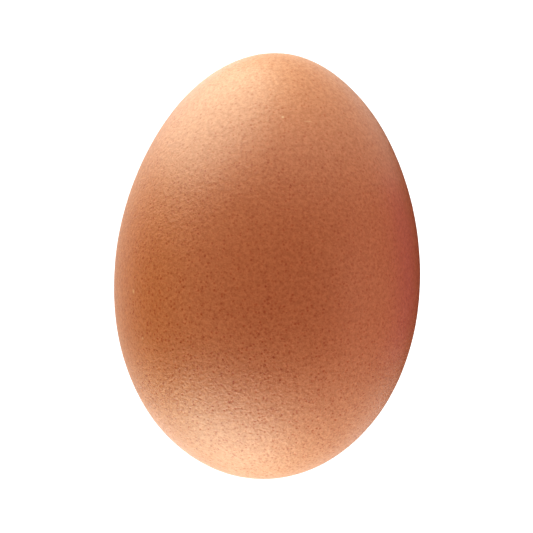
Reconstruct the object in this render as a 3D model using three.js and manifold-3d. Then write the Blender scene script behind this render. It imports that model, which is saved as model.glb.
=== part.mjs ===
// A hen's egg in its shell, lying on its side as an egg does on a table.
// Millimetres, +Z up. The origin is the middle of the small flat spot that the egg rests on, and the
// pointed end looks along +Y.

import * as THREE from "three";
import { mergeVertices } from "three/addons/utils/BufferGeometryUtils.js";
import Module from "manifold-3d";

// Driving dimensions of the egg.
const LENGTH = 59.0; // blunt end to pointed end
const BREADTH = 42.4; // across the widest section
const WIDEST_OFFSET = 1.46; // from mid-length towards the blunt end, where the widest section lies
const QUARTER_DIAMETER = 35.2; // across, a quarter of the length in from the pointed end
const FLAT_DEPTH = 0.15; // how much the lowest point of the shell is flattened

// How finely the shell is faceted.
const RINGS = 52; // steps from the blunt end to the pointed end
const SEGMENTS = 76; // steps round the long axis

const SHELL = { color: 0xc88a63, roughness: 0.55, metalness: 0.0 };

const REST_STEPS = 4000; // slices in the sums that find the centre of mass
const HALF_LENGTH = LENGTH / 2;

/**
 * The shell's radius at a distance along the long axis, counted from mid-length and positive towards
 * the pointed end. This is the four-parameter egg equation of Narushin, Romanov and Griffin (2021).
 */
function radiusAt(along) {
  const [L, B, w, D] = [LENGTH, BREADTH, WIDEST_OFFSET, QUARTER_DIAMETER];
  const skew = L * L + 8 * w * along + 4 * w * w;
  const ovoid = (B / 2) * Math.sqrt(Math.max(0, L * L - 4 * along * along) / skew);

  // How much slimmer the pointed half is than the plain ovoid.
  const reach = Math.sqrt(5.5 * L * L + 11 * L * w + 4 * w * w);
  const waist = Math.sqrt(L * L + 2 * w * L + 4 * w * w);
  const slimming =
    (reach * (Math.sqrt(3) * B * L - 2 * D * waist)) /
    (Math.sqrt(3) * B * L * (reach - 2 * waist));

  const cone =
    2 * (L - 2 * w) * along * along +
    (L * L + 8 * L * w - 4 * w * w) * along +
    2 * L * w * w +
    L * L * w +
    L * L * L;
  return ovoid * (1 - slimming * (1 - Math.sqrt(Math.max(0, (L * skew) / cone))));
}

/** The outline's slope, which is negative where the shell narrows towards the pointed end. */
function slopeAt(along) {
  const step = HALF_LENGTH / REST_STEPS;
  return (radiusAt(along + step) - radiusAt(along - step)) / (2 * step);
}

/** Where the centre of mass lies on the long axis, for an egg of even density. */
function centreOfMass() {
  let volume = 0;
  let moment = 0;
  for (let i = 0; i < REST_STEPS; i++) {
    const along = LENGTH * ((i + 0.5) / REST_STEPS - 0.5);
    const slice = radiusAt(along) ** 2;
    volume += slice;
    moment += slice * along;
  }
  return moment / volume;
}

/**
 * Where on its length a lying egg touches the table: the point whose normal passes through the centre
 * of mass. The distance by which the normal misses it grows steadily, so halving the span finds it.
 */
function restingPoint() {
  const balance = centreOfMass();
  let low = -HALF_LENGTH / 3;
  let high = HALF_LENGTH / 3;
  while (high - low > 1e-6) {
    const middle = (low + high) / 2;
    const miss = middle + radiusAt(middle) * slopeAt(middle) - balance;
    if (miss < 0) low = middle;
    else high = middle;
  }
  return (low + high) / 2;
}

/** The whole shell about its long axis, Y, with the rings closer together at the two ends. */
function shellOfRevolution() {
  const profile = [];
  for (let i = 0; i <= RINGS; i++) {
    const along = -HALF_LENGTH * Math.cos((Math.PI * i) / RINGS);
    const atEnd = i === 0 || i === RINGS;
    profile.push(new THREE.Vector2(atEnd ? 0 : radiusAt(along), along));
  }
  return new THREE.LatheGeometry(profile, SEGMENTS);
}

const wasm = await Module();
wasm.setup();

/** A closed three.js geometry as a manifold-3d solid. */
function toSolid(geometry) {
  const bare = geometry.clone();
  bare.deleteAttribute("normal");
  bare.deleteAttribute("uv");
  const merged = mergeVertices(bare, 1e-4);
  return new wasm.Manifold(
    new wasm.Mesh({
      numProp: 3,
      vertProperties: merged.getAttribute("position").array,
      triVerts: new Uint32Array(merged.getIndex().array),
    }),
  );
}

/** A manifold-3d solid as a three.js geometry. */
function toGeometry(solid) {
  const mesh = solid.getMesh();
  const geometry = new THREE.BufferGeometry();
  geometry.setAttribute("position", new THREE.BufferAttribute(mesh.vertProperties, 3));
  geometry.setIndex(new THREE.BufferAttribute(mesh.triVerts, 1));
  geometry.computeVertexNormals();
  return geometry;
}

/** The egg on its side, with its resting point over the origin and cut to the small flat spot. */
function lyingEgg() {
  const along = restingPoint();
  const dip = Math.atan(slopeAt(along)); // the pointed end sinks by this angle
  const whole = shellOfRevolution();
  whole.translate(0, -along, radiusAt(along));
  whole.rotateX(dip);
  whole.translate(0, 0, -FLAT_DEPTH);

  const table = new THREE.BoxGeometry(2 * BREADTH, 2 * LENGTH, BREADTH);
  table.translate(0, 0, -BREADTH / 2);
  return toGeometry(toSolid(whole).subtract(toSolid(table)));
}

/** The egg: one solid, grown in one piece. */
function makeEgg() {
  const mesh = new THREE.Mesh(lyingEgg(), new THREE.MeshStandardMaterial(SHELL));
  mesh.name = "egg";
  return mesh;
}

const part = new THREE.Group();
part.add(makeEgg());

export default part;
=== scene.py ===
"""A hen's egg in its brown shell, lying on its side on a pale studio table.

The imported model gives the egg's size and the spot that it rests on. This script shapes a fine skin of
the same form over it, with the shell's low grain in the mesh, paints the shell with pores and pigment,
and sets up the table, the soft lights and the camera.
"""

import logging
import math
from dataclasses import dataclass, field
from enum import Enum
from typing import Any

import bpy
import numpy as np
from mathutils import Matrix, Vector


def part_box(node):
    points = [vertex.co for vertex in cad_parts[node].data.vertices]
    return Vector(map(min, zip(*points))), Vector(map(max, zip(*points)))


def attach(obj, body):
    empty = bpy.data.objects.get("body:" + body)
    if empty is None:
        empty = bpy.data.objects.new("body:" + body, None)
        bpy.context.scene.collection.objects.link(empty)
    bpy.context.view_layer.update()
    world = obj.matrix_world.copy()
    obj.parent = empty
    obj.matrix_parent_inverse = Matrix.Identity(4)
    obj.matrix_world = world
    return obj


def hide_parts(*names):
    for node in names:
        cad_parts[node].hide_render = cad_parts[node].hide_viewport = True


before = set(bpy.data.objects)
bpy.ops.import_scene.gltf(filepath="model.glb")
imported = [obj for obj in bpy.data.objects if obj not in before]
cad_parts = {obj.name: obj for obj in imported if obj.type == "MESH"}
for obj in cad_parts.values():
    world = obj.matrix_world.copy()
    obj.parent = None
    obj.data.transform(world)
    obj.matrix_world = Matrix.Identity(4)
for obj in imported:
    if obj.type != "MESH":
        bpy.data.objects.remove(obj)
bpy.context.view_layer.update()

log = logging.getLogger("egg")

MILLIMETRE = 0.001
WHITE = (1.0, 1.0, 1.0)
KEY_COLOUR = (1.0, 1.11, 0.98)
RENDER_SIDE = 533  # pixels
TINY = 1e-12  # keeps a division by nothing from failing


@dataclass(frozen=True)
class EggForm:
    """The egg's outline turned about its long axis, in metres, lying as it comes to rest.

    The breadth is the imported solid's own. The other sizes are shares of it, and the outline is the usual
    four-size egg formula.
    """

    breadth: float
    length_share: float = 59.0 / 42.4  # blunt end to pointed end
    widest_share: float = 1.46 / 42.4  # from mid-length back to the widest place
    quarter_share: float = 35.2 / 42.4  # across, a quarter of the length from the pointed end
    flat_depth: float = 0.15 * MILLIMETRE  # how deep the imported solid's flat spot is
    slices: int = 4000  # in the sums that find the resting pose
    finer: int = 1000  # how much finer than a slice the resting point is found

    @classmethod
    def packed(cls) -> "EggForm":
        """Takes the egg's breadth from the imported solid."""
        low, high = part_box("egg")
        return cls(breadth=high[0] - low[0])

    @property
    def length(self) -> float:
        """The long axis from end to end."""
        return self.breadth * self.length_share

    @property
    def widest_offset(self) -> float:
        """How far the widest place lies from mid-length, towards the blunt end."""
        return self.breadth * self.widest_share

    @property
    def quarter_diameter(self) -> float:
        """The diameter a quarter of the length from the pointed end."""
        return self.breadth * self.quarter_share

    def radius(self, along: np.ndarray) -> np.ndarray:
        """Gives the egg's radius across its long axis.

        Args:
            along: Distances from mid-length, positive towards the pointed end.

        Returns:
            The radius at each distance.
        """
        whole, wide, shift = self.length, self.breadth, self.widest_offset
        skew = whole**2 + 8 * shift * along + 4 * shift**2
        ovoid = wide / 2 * np.sqrt(np.maximum(0, whole**2 - 4 * along**2) / skew)
        reach = math.sqrt(5.5 * whole**2 + 11 * whole * shift + 4 * shift**2)
        waist = math.sqrt(whole**2 + 2 * shift * whole + 4 * shift**2)
        full = math.sqrt(3) * wide * whole
        slimming = reach * (full - 2 * self.quarter_diameter * waist) / (full * (reach - 2 * waist))
        cone = (
            2 * (whole - 2 * shift) * along**2
            + (whole**2 + 8 * whole * shift - 4 * shift**2) * along
            + 2 * whole * shift**2
            + whole**2 * shift
            + whole**3
        )
        return ovoid * (1 - slimming * (1 - np.sqrt(np.maximum(0, whole * skew / cone))))

    def slope(self, along: float) -> float:
        """Gives how fast the radius grows towards the pointed end.

        Args:
            along: Distance from mid-length.

        Returns:
            The outline's slope there.
        """
        step = self.length / self.slices
        ahead, behind = self.radius(np.array([along + step, along - step]))
        return float(ahead - behind) / (2 * step)

    def centre_of_mass(self) -> float:
        """Finds the centre of mass, for an even density.

        Returns:
            The distance of the centre of mass from mid-length.
        """
        cuts = (np.arange(self.slices) + 0.5) / self.slices - 0.5
        along = cuts * self.length
        area = self.radius(along) ** 2
        return float((area * along).sum() / area.sum())

    def resting_point(self) -> float:
        """Finds where the outline touches a table with the centre of mass right above it.

        Returns:
            The distance of that point from mid-length.
        """
        balance = self.centre_of_mass()
        low, high = -self.length / 4, self.length / 4
        closeness = self.length / self.slices / self.finer
        while high - low > closeness:
            middle = (low + high) / 2
            lean = middle + float(self.radius(np.array([middle]))[0]) * self.slope(middle) - balance
            if lean < 0:
                low = middle
            else:
                high = middle
        return (low + high) / 2

    def resting_place(self) -> Matrix:
        """Lays the egg on the table.

        Returns:
            The move from the egg's own axes, with its long axis along Y and mid-length at the origin, to
            the frame, where it rests on the origin.
        """
        along = self.resting_point()
        dip = math.atan(self.slope(along))
        lift = float(self.radius(np.array([along]))[0])
        return (
            Matrix.Translation((0, 0, -self.flat_depth))
            @ Matrix.Rotation(dip, 4, "X")
            @ Matrix.Translation((0, -along, lift))
        )


class Patch(Enum):
    """The six patches that the skin is laid out in, each by its outward and upward direction."""

    RIGHT = ((1, 0, 0), (0, 1, 0))
    TOP = ((0, 0, 1), (0, 1, 0))
    LEFT = ((-1, 0, 0), (0, 1, 0))
    UNDERSIDE = ((0, 0, -1), (0, 1, 0))
    POINTED_END = ((0, 1, 0), (0, 0, -1))
    BLUNT_END = ((0, -1, 0), (0, 0, 1))

    def axes(self) -> tuple[np.ndarray, np.ndarray, np.ndarray]:
        """Gives the patch's outward, sideways and upward directions."""
        outward, upward = np.array(self.value, float)
        return outward, np.cross(upward, outward), upward


@dataclass(frozen=True)
class Ripple:
    """One band of the shell's relief: a smooth random swell, even in every direction."""

    wavelength: float
    height: float
    seed: int
    waves: int = 48
    shortest: float = 0.75  # the waves' lengths, as shares of the wavelength
    longest: float = 1.35

    def relief(self, points: np.ndarray) -> np.ndarray:
        """Gives the swell at some points.

        Args:
            points: Places in the frame, one a row.

        Returns:
            The height of the swell at each, in metres, with the band's height as its usual size.
        """
        dice = np.random.default_rng(self.seed)
        heading = dice.normal(size=(self.waves, 3))
        heading /= np.linalg.norm(heading, axis=1, keepdims=True)
        pitch = self.wavelength * dice.uniform(self.shortest, self.longest, size=(self.waves, 1))
        phase = dice.uniform(0, 2 * math.pi, size=self.waves)
        swell = np.cos(points @ (heading * 2 * math.pi / pitch).T + phase).sum(axis=1)
        return self.height * swell * math.sqrt(2 / self.waves)


@dataclass
class NodeBoard:
    """A node tree with short ways to add and join nodes."""

    tree: bpy.types.NodeTree

    def add(self, kind: str, settings: dict[str, Any] | None = None, **inputs: Any) -> bpy.types.Node:
        """Adds a node.

        Args:
            kind: The node's type, without its ShaderNode prefix.
            settings: Values for the node's own settings, by name.
            inputs: Values or sockets for its inputs, by name with _ for a space, or by place as i0, i1.

        Returns:
            The new node.
        """
        node = self.tree.nodes.new("ShaderNode" + kind)
        for name, value in (settings or {}).items():
            setattr(node, name, value)
        for name, value in inputs.items():
            numbered = name[0] == "i" and name[1:].isdigit()
            socket = node.inputs[int(name[1:])] if numbered else node.inputs[name.replace("_", " ")]
            if isinstance(value, bpy.types.NodeSocket):
                self.tree.links.new(value, socket)
            else:
                socket.default_value = value
        return node

    def maths(self, operation: str, first: Any, second: Any = 0.0) -> bpy.types.NodeSocket:
        """Adds a sum of two values.

        Args:
            operation: What the Math node does.
            first: The first value or socket.
            second: The second value or socket.

        Returns:
            The socket with the answer.
        """
        return self.add("Math", {"operation": operation}, i0=first, i1=second).outputs[0]

    def vectors(self, operation: str, *terms: Any) -> bpy.types.Node:
        """Adds a sum of vectors.

        Args:
            operation: What the Vector Math node does.
            terms: The vectors or sockets, in order.

        Returns:
            The new node.
        """
        inputs = {f"i{number}": term for number, term in enumerate(terms)}
        return self.add("VectorMath", {"operation": operation}, **inputs)

    def blend(self, share: Any, first: Any, second: Any) -> bpy.types.NodeSocket:
        """Blends two colours.

        Args:
            share: How much of the second shows. It may be past 0 or 1.
            first: The first colour or socket.
            second: The second colour or socket.

        Returns:
            The socket with the blended colour.
        """
        settings = {"data_type": "RGBA", "clamp_factor": False}
        return self.add("Mix", settings, i0=share, i6=first, i7=second).outputs[2]

    def ramp(
        self, value: Any, start: float, end: float, low: float = 0.0, high: float = 1.0
    ) -> bpy.types.NodeSocket:
        """Adds a smooth rise from one value to another.

        Args:
            value: The socket to read.
            start: Where the rise starts.
            end: Where the rise ends.
            low: The answer before the start.
            high: The answer past the end.

        Returns:
            The socket with the answer.
        """
        node = self.add(
            "MapRange",
            {"interpolation_type": "SMOOTHSTEP"},
            Value=value,
            From_Min=start,
            From_Max=end,
            To_Min=low,
            To_Max=high,
        )
        return node.outputs["Result"]

    def tint(self, share: Any, colour: Any, stain: tuple[float, float, float]) -> bpy.types.NodeSocket:
        """Multiplies a colour by a stain.

        Args:
            share: How much of the stain shows, from 0 to 1.
            colour: The socket with the colour to stain.
            stain: The stain's colour.

        Returns:
            The socket with the stained colour.
        """
        settings = {"data_type": "RGBA", "blend_type": "MULTIPLY"}
        return self.add("Mix", settings, i0=share, i6=colour, i7=(*stain, 1.0)).outputs[2]


@dataclass(frozen=True)
class Cloud:
    """A soft random pattern in the shell. Its scale is per millimetre."""

    scale: float
    detail: float
    roughness: float = 0.5
    faint: float = 0.3  # nearly all of the pattern lies between faint and full
    full: float = 0.7

    def pattern(self, board: NodeBoard, place: bpy.types.NodeSocket) -> bpy.types.Node:
        """Adds the pattern's node.

        Args:
            board: The material's node board.
            place: The place on the shell, in millimetres.

        Returns:
            The new node.
        """
        return board.add(
            "TexNoise", Vector=place, Scale=self.scale, Detail=self.detail, Roughness=self.roughness
        )

    def spread(
        self, board: NodeBoard, place: bpy.types.NodeSocket, low: float = 0.0, high: float = 1.0
    ) -> bpy.types.NodeSocket:
        """Adds the pattern, spread out between two values.

        Args:
            board: The material's node board.
            place: The place on the shell, in millimetres.
            low: The answer where the pattern is faint.
            high: The answer where it is full.

        Returns:
            The socket with the answer.
        """
        return board.ramp(self.pattern(board, place).outputs["Fac"], self.faint, self.full, low, high)


@dataclass(frozen=True)
class PoreLayer:
    """Pigmented pores of one size, strewn through the shell. Sizes are in millimetres."""

    spacing: float
    reach: float
    strength: float
    stain: tuple[float, float, float]
    pit: float
    core: float = 0.1  # the share of a pore's reach that is evenly dark
    faintest: float = 0.25  # the faintest pore's share of the strength

    def mask(self, board: NodeBoard, place: bpy.types.NodeSocket) -> bpy.types.NodeSocket:
        """Adds the nodes that find the pores.

        Args:
            board: The material's node board.
            place: The place on the shell, in millimetres.

        Returns:
            The socket that is 0 between pores and rises to a pore's own strength at its middle.
        """
        cells = board.add(
            "TexVoronoi", {"feature": "F1"}, Vector=place, Scale=1 / self.spacing, Randomness=1.0
        )
        chance = board.add("SeparateColor", Color=cells.outputs["Color"]).outputs[0]
        edge = self.reach / self.spacing
        spot = board.ramp(cells.outputs["Distance"], edge, self.core * edge)
        share = board.ramp(chance, 0.0, 1.0, self.faintest * self.strength, self.strength)
        return board.maths("MULTIPLY", spot, share)


@dataclass(frozen=True)
class Speck:
    """A grain of white lime on the shell, drawn out one way. Sizes are in millimetres.

    Its place is given across and along the egg from its middle, as seen from above.
    """

    across: float
    along: float
    length: float
    width: float
    heading: float
    share: float
    core: float = 0.3  # the share of the grain's reach that is evenly pale
    depth: float = 4.0  # how many lengths deep it reaches, so that it shows whole on a slope

    def mask(self, board: NodeBoard, place: bpy.types.NodeSocket, form: EggForm) -> bpy.types.NodeSocket:
        """Adds the nodes that find the grain.

        Args:
            board: The material's node board.
            place: The place on the shell, in millimetres from the egg's middle along its own axes.
            form: The egg's form, which gives the grain's height.

        Returns:
            The socket that is 0 away from the grain and rises to the grain's share at its middle.
        """
        radius = float(form.radius(np.array([self.along * MILLIMETRE]))[0]) / MILLIMETRE
        spot = (self.across, self.along, math.sqrt(radius**2 - self.across**2))
        turned = board.add(
            "VectorRotate",
            {"rotation_type": "Z_AXIS", "invert": True},
            Vector=board.vectors("SUBTRACT", place, spot).outputs[0],
            Angle=math.radians(self.heading),
        ).outputs[0]
        shape = (2 / self.length, 2 / self.width, 2 / (self.depth * self.length))
        scaled = board.vectors("MULTIPLY", turned, shape).outputs[0]
        reach = board.vectors("LENGTH", scaled).outputs["Value"]
        return board.ramp(reach, 1.0, self.core, 0.0, self.share)


@dataclass(frozen=True)
class ShellFinish:
    """Satin brown eggshell: warm pigment, dark pores and a fine stippled surface.

    The colour is deepest round the belly and paler towards both ends, partly the shell's own tone and
    partly
    painted light: a painted highlight tint near the ends and painted shade round the belly. The pores and
    the stipple are boldest towards the blunt end and the left, and bolder at both ends than round the
    belly. Lengths are in millimetres. A rise says where it starts and ends towards the bold side, and its
    two values.
    """

    form: EggForm
    name: str = "eggshell"
    # belly and ends: partly the shell's own tone, partly painted shade round the belly and a painted
    # highlight tint at the ends
    belly: tuple[float, float, float] = (0.505, 0.202, 0.077)
    ends: tuple[float, float, float] = (0.605, 0.316, 0.16)
    paling: float = 2.0  # the power of the share of the way from mid-length to an end
    mottle: float = 0.08  # how far the mottling moves the pigment between belly and ends
    mottling: Cloud = Cloud(scale=0.07, detail=2.0)
    fleck_tint: tuple[float, float, float] = (0.80, 0.70, 0.55)
    flecks: Cloud = Cloud(scale=2.0, detail=4.0, roughness=0.7)
    lime: tuple[float, float, float] = (0.90, 0.84, 0.50)
    roughness: float = 0.40
    specular: float = 0.82
    bold_side: tuple[float, float, float] = (-0.45, -0.89, 0.0)
    pore_rise: tuple[float, float, float, float] = (-12.0, 14.0, 0.58, 1.08)
    stipple_rise: tuple[float, float, float, float] = (-8.0, 24.0, 0.55, 1.05)
    end_boldness: float = 0.3  # how much bolder the pores are at the ends
    sway: float = 0.22  # how far the pores are pushed out of round
    swaying: Cloud = Cloud(scale=3.5, detail=1.0)
    stipple_height: float = 0.10
    stipple: Cloud = Cloud(scale=2.0, detail=4.0, roughness=0.65)
    pores: tuple[PoreLayer, ...] = (
        PoreLayer(spacing=0.52, reach=0.25, strength=0.94, stain=(0.74, 0.36, 0.0), pit=0.020),
        PoreLayer(spacing=0.33, reach=0.165, strength=0.60, stain=(0.74, 0.36, 0.0), pit=0.010),
    )
    specks: tuple[Speck, ...] = (
        Speck(across=1.0, along=20.1, length=0.50, width=0.42, heading=0, share=0.28),
        Speck(across=4.4, along=19.7, length=1.45, width=0.28, heading=0, share=0.16),
        Speck(across=-18.0, along=-4.3, length=0.95, width=0.34, heading=96, share=0.20),
        Speck(across=-16.4, along=-10.6, length=0.55, width=0.32, heading=96, share=0.20),
    )

    def own_place(self, board: NodeBoard) -> bpy.types.NodeSocket:
        """Adds the nodes that give a place on the shell along the egg's own axes.

        Args:
            board: The material's node board.

        Returns:
            The socket with the place, in millimetres from the egg's middle.
        """
        back = self.form.resting_place().inverted()
        return board.add(
            "Mapping",
            {"vector_type": "POINT"},
            Vector=board.add("TexCoord").outputs["Object"],
            Location=tuple(length / MILLIMETRE for length in back.translation),
            Rotation=tuple(back.to_euler()),
            Scale=(1 / MILLIMETRE,) * 3,
        ).outputs[0]

    def outward(self, board: NodeBoard, place: bpy.types.NodeSocket) -> bpy.types.NodeSocket:
        """Adds the nodes that tell how near a place is to an end of the egg.

        Args:
            board: The material's node board.
            place: The place on the shell, in millimetres.

        Returns:
            The socket that is 0 round the belly and 1 at both ends.
        """
        along = board.add("SeparateXYZ", Vector=place).outputs["Y"]
        half = self.form.length / 2 / MILLIMETRE
        share = board.maths("DIVIDE", board.maths("ABSOLUTE", along), half)
        return board.maths("POWER", share, self.paling)

    def material(self) -> bpy.types.Material:
        """Builds the material.

        Returns:
            The finished material.
        """
        paint = bpy.data.materials.new(self.name)
        paint.use_nodes = True
        board = NodeBoard(paint.node_tree)
        paint.node_tree.nodes.clear()
        place = self.own_place(board)
        push = self.swaying.pattern(board, place).outputs["Color"]
        bent = board.vectors("MULTIPLY_ADD", push, (self.sway,) * 3, place).outputs[0]
        towards = board.vectors("DOT_PRODUCT", place, self.bold_side).outputs["Value"]
        outward = self.outward(board, place)
        bolder = board.maths("ADD", 1.0, board.maths("MULTIPLY", outward, self.end_boldness))
        boldness = board.maths("MULTIPLY", board.ramp(towards, *self.pore_rise), bolder)
        roughing = board.maths("MULTIPLY", board.ramp(towards, *self.stipple_rise), bolder)
        masks = [board.maths("MULTIPLY", layer.mask(board, bent), boldness) for layer in self.pores]
        shader = board.add(
            "BsdfPrincipled",
            Base_Color=self.colour(board, place, outward, masks),
            Roughness=self.roughness,
            Specular_IOR_Level=self.specular,
            Normal=self.grain(board, place, masks, roughing),
        )
        board.add("OutputMaterial", Surface=shader.outputs[0])
        return paint

    def colour(
        self,
        board: NodeBoard,
        place: bpy.types.NodeSocket,
        outward: bpy.types.NodeSocket,
        masks: list[bpy.types.NodeSocket],
    ) -> bpy.types.NodeSocket:
        """Adds the colour's nodes, with painted shade round the belly and a painted highlight tint towards
        the ends.

        Args:
            board: The material's node board.
            place: The place on the shell, in millimetres.
            outward: How near the place is to an end of the egg.
            masks: Where the pores of each layer are.

        Returns:
            The socket with the shell's colour.
        """
        patchy = self.mottling.spread(board, place, -self.mottle, self.mottle)
        # paler towards both ends: partly the shell's own tone, partly a painted highlight tint; deeper
        # round the belly: partly painted shade
        paleness = board.maths("ADD", outward, patchy)
        ground = board.blend(paleness, (*self.belly, 1.0), (*self.ends, 1.0))
        ground = board.tint(self.flecks.spread(board, place), ground, self.fleck_tint)
        for mask, layer in zip(masks, self.pores):
            ground = board.tint(mask, ground, layer.stain)
        for speck in self.specks:
            ground = board.blend(speck.mask(board, place, self.form), ground, (*self.lime, 1.0))
        return ground

    def grain(
        self,
        board: NodeBoard,
        place: bpy.types.NodeSocket,
        masks: list[bpy.types.NodeSocket],
        roughing: bpy.types.NodeSocket,
    ) -> bpy.types.NodeSocket:
        """Adds the fine relief: pits at the pores and the stipple between them.

        Args:
            board: The material's node board.
            place: The place on the shell, in millimetres.
            masks: Where the pores of each layer are.
            roughing: How strong the stipple is.

        Returns:
            The socket with the surface normal.
        """
        stipple = self.stipple.pattern(board, place).outputs["Fac"]
        height = board.maths("MULTIPLY", board.maths("MULTIPLY", stipple, self.stipple_height), roughing)
        for mask, layer in zip(masks, self.pores):
            height = board.maths("SUBTRACT", height, board.maths("MULTIPLY", mask, layer.pit))
        return board.add("Bump", Strength=1.0, Distance=MILLIMETRE, Height=height).outputs[0]


@dataclass
class Eggshell:
    """The egg's skin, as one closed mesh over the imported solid."""

    form: EggForm = field(default_factory=EggForm.packed)
    name: str = "eggshell"
    cells: int = 127  # along each side of a patch
    ripples: tuple[Ripple, ...] = (
        Ripple(wavelength=14 * MILLIMETRE, height=0.018 * MILLIMETRE, seed=11),
        Ripple(wavelength=4.5 * MILLIMETRE, height=0.0035 * MILLIMETRE, seed=12),
        Ripple(wavelength=1.5 * MILLIMETRE, height=0.0016 * MILLIMETRE, seed=13),
    )
    relief_depth: float = 0.06 * MILLIMETRE  # sinks the skin, so that its swells stay inside the solid
    map_margin: float = 0.012  # left free round each patch on the bake's map
    map_columns: int = 3
    map_rows: int = 2
    weld_steps: int = 1_000_000  # points that agree to one of these steps are joined

    def directions(self) -> tuple[np.ndarray, np.ndarray, np.ndarray]:
        """Lays an even grid of cells on each patch of a ball.

        Returns:
            The ball's points, the four corners of each cell, and each corner's place on the bake's map.
        """
        steps = np.linspace(-1, 1, self.cells + 1)
        across, up = np.meshgrid(np.tan(steps * math.pi / 4), np.tan(steps * math.pi / 4), indexing="ij")
        row = self.cells + 1
        corner = np.arange(self.cells)[:, None] * row + np.arange(self.cells)[None, :]
        quad = np.stack([corner, corner + row, corner + row + 1, corner + 1], axis=-1).reshape(-1, 4)
        share = (steps + 1) / 2 * (1 - 2 * self.map_margin) + self.map_margin
        flat = np.stack(np.meshgrid(share, share, indexing="ij"), axis=-1).reshape(-1, 2)
        points, quads, places = [], [], []
        for number, patch in enumerate(Patch):
            out, side, rise = patch.axes()
            grid = out + across[..., None] * side + up[..., None] * rise
            points.append(grid.reshape(-1, 3))
            quads.append(quad + number * row * row)
            shelf, column = divmod(number, self.map_columns)
            places.append((flat + (column, shelf))[quad] / (self.map_columns, self.map_rows))
        ball = np.concatenate(points)
        ball /= np.linalg.norm(ball, axis=1, keepdims=True)
        return ball, np.concatenate(quads), np.concatenate(places).reshape(-1, 2)

    def welded(self, ball: np.ndarray, quads: np.ndarray) -> tuple[np.ndarray, np.ndarray]:
        """Joins the patches where their edges meet.

        Args:
            ball: The ball's points, with the edges of the patches doubled.
            quads: The four corners of each cell.

        Returns:
            The points without doubles, and the cells that use them.
        """
        keys = np.round(ball * self.weld_steps).astype(np.int64)
        _, first, back = np.unique(keys, axis=0, return_index=True, return_inverse=True)
        return ball[first], back.reshape(-1)[quads]

    def skin(self, ball: np.ndarray) -> np.ndarray:
        """Spreads the ball's points over the egg and adds the relief.

        Args:
            ball: Directions from the middle, one a row.

        Returns:
            The skin's points in the frame.
        """
        half = self.form.length / 2
        along = half * np.clip(ball[:, 1], -1, 1)
        ring = np.hypot(ball[:, 0], ball[:, 2])
        radius = self.form.radius(along)
        turn = ball[:, [0, 2]] / np.maximum(ring, TINY)[:, None]
        body = np.column_stack([radius * turn[:, 0], along, radius * turn[:, 1]])
        move = np.array(self.form.resting_place())
        placed = body @ move[:3, :3].T + move[:3, 3]
        swell = sum(ripple.relief(placed) for ripple in self.ripples) - self.relief_depth
        centre = move[:3, 3]
        outward = (placed - centre) / np.linalg.norm(placed - centre, axis=1, keepdims=True)
        placed = placed + outward * swell[:, None]
        placed[:, 2] = np.maximum(placed[:, 2], 0)
        return placed

    def build(self) -> bpy.types.Object:
        """Builds the skin and dresses it.

        Returns:
            The finished piece.
        """
        ball, quads, places = self.directions()
        ball, quads = self.welded(ball, quads)
        points = self.skin(ball)
        mesh = bpy.data.meshes.new(self.name)
        mesh.from_pydata(points.tolist(), [], quads.tolist())
        mesh.uv_layers.new(name="OFBake").data.foreach_set("uv", places.astype(np.float32).ravel())
        mesh.shade_smooth()
        mesh.update()
        piece = bpy.data.objects.new(self.name, mesh)
        bpy.context.scene.collection.objects.link(piece)
        mesh.materials.append(ShellFinish(self.form).material())
        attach(piece, "root")
        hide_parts("egg")
        log.info("%s: %d faces", piece.name, len(mesh.polygons))
        return piece


@dataclass(frozen=True)
class TableFinish:
    """A white table top lit from below, with a painted soft shadow round the spot where the egg rests."""

    name: str = "table_top"
    reach: tuple[float, float] = (23.5 * MILLIMETRE, 31 * MILLIMETRE)  # the shade's, across and along
    dark_share: float = 0.15  # the share of the reach that is fully dark
    # the painted shadow's colour, which the glow fades to near the egg's resting spot
    painted_shadow: tuple[float, float, float] = (0.20, 0.13, 0.10)

    def material(self) -> bpy.types.Material:
        """Builds the material.

        Returns:
            The finished material.
        """
        top = bpy.data.materials.new(self.name)
        top.use_nodes = True
        board = NodeBoard(top.node_tree)
        top.node_tree.nodes.clear()
        place = board.add("TexCoord").outputs["Object"]
        scaled = board.vectors("MULTIPLY", place, (1 / self.reach[0], 1 / self.reach[1], 0.0)).outputs[0]
        away = board.vectors("LENGTH", scaled).outputs["Value"]
        # painted shadow: the glow is darkened towards the shadow colour round the egg's resting spot
        light = board.blend(board.ramp(away, self.dark_share, 1.0), (*self.painted_shadow, 1.0), (*WHITE, 1.0))
        glow = board.add("Emission", Color=light, Strength=1.0)
        board.add("OutputMaterial", Surface=glow.outputs[0])
        return top


@dataclass
class Table:
    """The plain pale floor. It throws no light on the egg and isn't mirrored in its gloss."""

    name: str = "table_top"
    reach: float = 8.0  # from its middle to each side
    finish: TableFinish = field(default_factory=TableFinish)

    def build(self) -> bpy.types.Object:
        """Builds the table top.

        Returns:
            The table top.
        """
        corner = self.reach
        mesh = bpy.data.meshes.new(self.name)
        corners = [(-corner, -corner, 0), (corner, -corner, 0), (corner, corner, 0), (-corner, corner, 0)]
        mesh.from_pydata(corners, [], [(0, 1, 2, 3)])
        top = bpy.data.objects.new(self.name, mesh)
        bpy.context.scene.collection.objects.link(top)
        mesh.materials.append(self.finish.material())
        top.visible_diffuse = False
        top.visible_glossy = False
        top.visible_shadow = False
        log.info("%s: plain floor", top.name)
        return top


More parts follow.
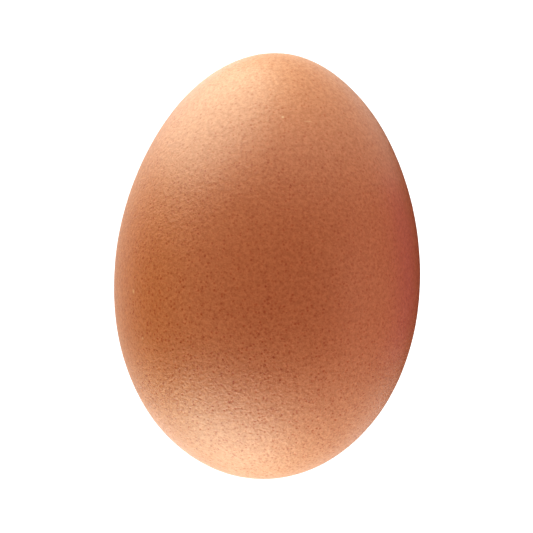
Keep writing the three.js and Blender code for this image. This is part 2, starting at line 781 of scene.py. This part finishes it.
@dataclass(frozen=True)
class SoftLight:
    """A round soft box that faces the egg.

    Its place is given as the camera sees it, in degrees: the azimuth runs from the right of the view over
    its top, and the elevation is towards the camera, or behind the egg where it is negative. The spread
    is half the angle that the light fills. The strength is the light that reaches the egg, so it stays
    the same when the spread changes.
    """

    name: str
    azimuth: float
    elevation: float
    spread: float
    strength: float
    colour: tuple[float, float, float] = WHITE
    distance: float = 2.0  # from the egg's middle

    def build(self, view: Matrix) -> bpy.types.Object:
        """Builds the light.

        Args:
            view: The camera's axes, with the egg's middle as their origin.

        Returns:
            The light.
        """
        turn, rise = math.radians(self.azimuth), math.radians(self.elevation)
        seen = Vector((math.cos(rise) * math.cos(turn), math.cos(rise) * math.sin(turn), math.sin(rise)))
        heading = view.to_3x3() @ seen
        radius = self.distance * math.tan(math.radians(self.spread))
        sky_share = 2 * math.pi * (1 - math.cos(math.radians(self.spread)))
        lamp = bpy.data.lights.new(self.name, "AREA")
        lamp.shape = "DISK"
        lamp.size = 2 * radius
        radiance = self.strength * math.pi / sky_share
        lamp.energy = radiance * math.pi * math.pi * radius**2
        lamp.color = self.colour
        light = bpy.data.objects.new(self.name, lamp)
        bpy.context.scene.collection.objects.link(light)
        light.location = view.translation + heading * self.distance
        light.rotation_mode = "QUATERNION"
        light.rotation_quaternion = heading.to_track_quat("Z", "Y")
        light.visible_camera = False
        log.info("%s: soft light", light.name)
        return light


@dataclass(frozen=True)
class PlumCard:
    """A card beside the egg, where it keeps low light off and glows a dim plum.

    It stands to the right of the view, just outside it, and its top is about level with the egg's middle.
    """

    name: str = "plum_card"
    gap: float = 20 * MILLIMETRE  # from the egg's side
    width: float = 45 * MILLIMETRE  # along the egg
    drop: float = 20 * MILLIMETRE  # below the egg's middle
    rise: float = 2 * MILLIMETRE  # above the egg's middle
    middle: float = 2 * MILLIMETRE  # how far it stands towards the pointed end
    glow: float = 0.37
    colour: tuple[float, float, float] = (1.0, 0.36, 0.91)

    def build(self, form: EggForm) -> bpy.types.Object:
        """Builds the card.

        Args:
            form: The egg's form, which the card stands beside.

        Returns:
            The card.
        """
        side = form.breadth / 2 + self.gap
        near, far = self.middle - self.width / 2, self.middle + self.width / 2
        low, high = -self.drop, self.rise
        corners = [(side, near, low), (side, far, low), (side, far, high), (side, near, high)]
        mesh = bpy.data.meshes.new(self.name)
        mesh.from_pydata(corners, [], [(0, 1, 2, 3)])
        mesh.materials.append(self.material())
        card = bpy.data.objects.new(self.name, mesh)
        bpy.context.scene.collection.objects.link(card)
        card.matrix_world = form.resting_place()
        card.visible_camera = False
        log.info("%s: %.0f mm wide", card.name, self.width / MILLIMETRE)
        return card

    def material(self) -> bpy.types.Material:
        """Builds the material: an even, dim glow.

        Returns:
            The finished material.
        """
        glowing = bpy.data.materials.new(self.name)
        glowing.use_nodes = True
        glowing.node_tree.nodes.clear()
        board = NodeBoard(glowing.node_tree)
        glow = board.add("Emission", Color=(*self.colour, 1.0), Strength=self.glow)
        board.add("OutputMaterial", Surface=glow.outputs[0])
        return glowing


@dataclass
class Studio:
    """The lights, the backdrop and the camera."""

    lens: float = 250.0  # millimetres
    sensor: float = 36.0  # millimetres
    view_width: float = 73.7 * MILLIMETRE  # at the egg's middle
    roll: float = 2.9  # degrees, from the egg's long axis to the view's upright
    off_centre: tuple[float, float] = (1.29, 0.38)  # pixels, from the view's middle to the egg's
    nearest: float = 0.01  # the camera sees nothing nearer than this
    farthest: float = 20.0
    room_light: float = 0.003
    lights: tuple[SoftLight, ...] = (
        SoftLight(
            "upper_left_key", azimuth=122, elevation=-4.5, spread=34, strength=0.72, colour=KEY_COLOUR
        ),
        SoftLight(
            "lower_left_key", azimuth=251, elevation=-7, spread=32, strength=0.68, colour=KEY_COLOUR
        ),
        SoftLight("far_wall", azimuth=88, elevation=-14, spread=63, strength=0.86),
        SoftLight("near_wall", azimuth=272, elevation=-22, spread=56, strength=0.76),
        SoftLight(
            "overhead_fill", azimuth=-63, elevation=85, spread=78, strength=0.64, colour=(1.0, 0.77, 0.80)
        ),
        SoftLight("rosy_side", azimuth=-6, elevation=3, spread=30, strength=0.21, colour=(1.0, 0.64, 0.60)),
        SoftLight("table_bounce", azimuth=172, elevation=-57, spread=33, strength=0.2),
    )

    def view(self, form: EggForm) -> Matrix:
        """Gives the camera's axes, square to the egg's long axis.

        Args:
            form: The egg's form.

        Returns:
            The axes, with the egg's middle as their origin.
        """
        return form.resting_place() @ Matrix.Rotation(math.radians(self.roll), 4, "Z")

    def build_lights(self, form: EggForm) -> None:
        """Builds every light and the room's own light.

        Args:
            form: The egg's form, which the lights face.
        """
        for light in self.lights:
            light.build(self.view(form))
        world = bpy.data.worlds.new("studio")
        bpy.context.scene.world = world
        world.use_nodes = True
        board = NodeBoard(world.node_tree)
        world.node_tree.nodes.clear()
        seen = board.add("LightPath").outputs["Is Camera Ray"]
        strength = board.add("MapRange", Value=seen, To_Min=self.room_light, To_Max=1.0).outputs[0]
        backdrop = board.add("Background", Color=(*WHITE, 1.0), Strength=strength)
        board.add("OutputWorld", Surface=backdrop.outputs[0])

    def build_camera(self, form: EggForm) -> bpy.types.Object:
        """Hangs the camera over the egg, square to its long axis.

        Args:
            form: The egg's form, whose resting place the camera is set from.

        Returns:
            The camera.
        """
        eye = bpy.data.cameras.new("camera")
        eye.lens = self.lens
        eye.sensor_width = self.sensor
        eye.clip_start = self.nearest
        eye.clip_end = self.farthest
        distance = self.lens / self.sensor * self.view_width
        across, up = (-offset * self.view_width / RENDER_SIDE for offset in self.off_centre)
        camera = bpy.data.objects.new("camera", eye)
        bpy.context.scene.collection.objects.link(camera)
        camera.matrix_world = self.view(form) @ Matrix.Translation((across, up, distance))
        bpy.context.scene.camera = camera
        log.info("%s: %.0f mm lens, %.2f m away", camera.name, self.lens, distance)
        return camera


def main() -> None:
    """Builds the egg, the table and the studio, and reports each."""
    logging.basicConfig(level=logging.INFO, format="%(name)s: %(message)s")
    egg = Eggshell()
    egg.build()
    Table().build()
    PlumCard().build(egg.form)
    studio = Studio()
    studio.build_lights(egg.form)
    studio.build_camera(egg.form)
    view = bpy.context.scene.view_settings
    view.view_transform = "Standard"
    view.look = "High Contrast"


if __name__ == "__main__":
    main()
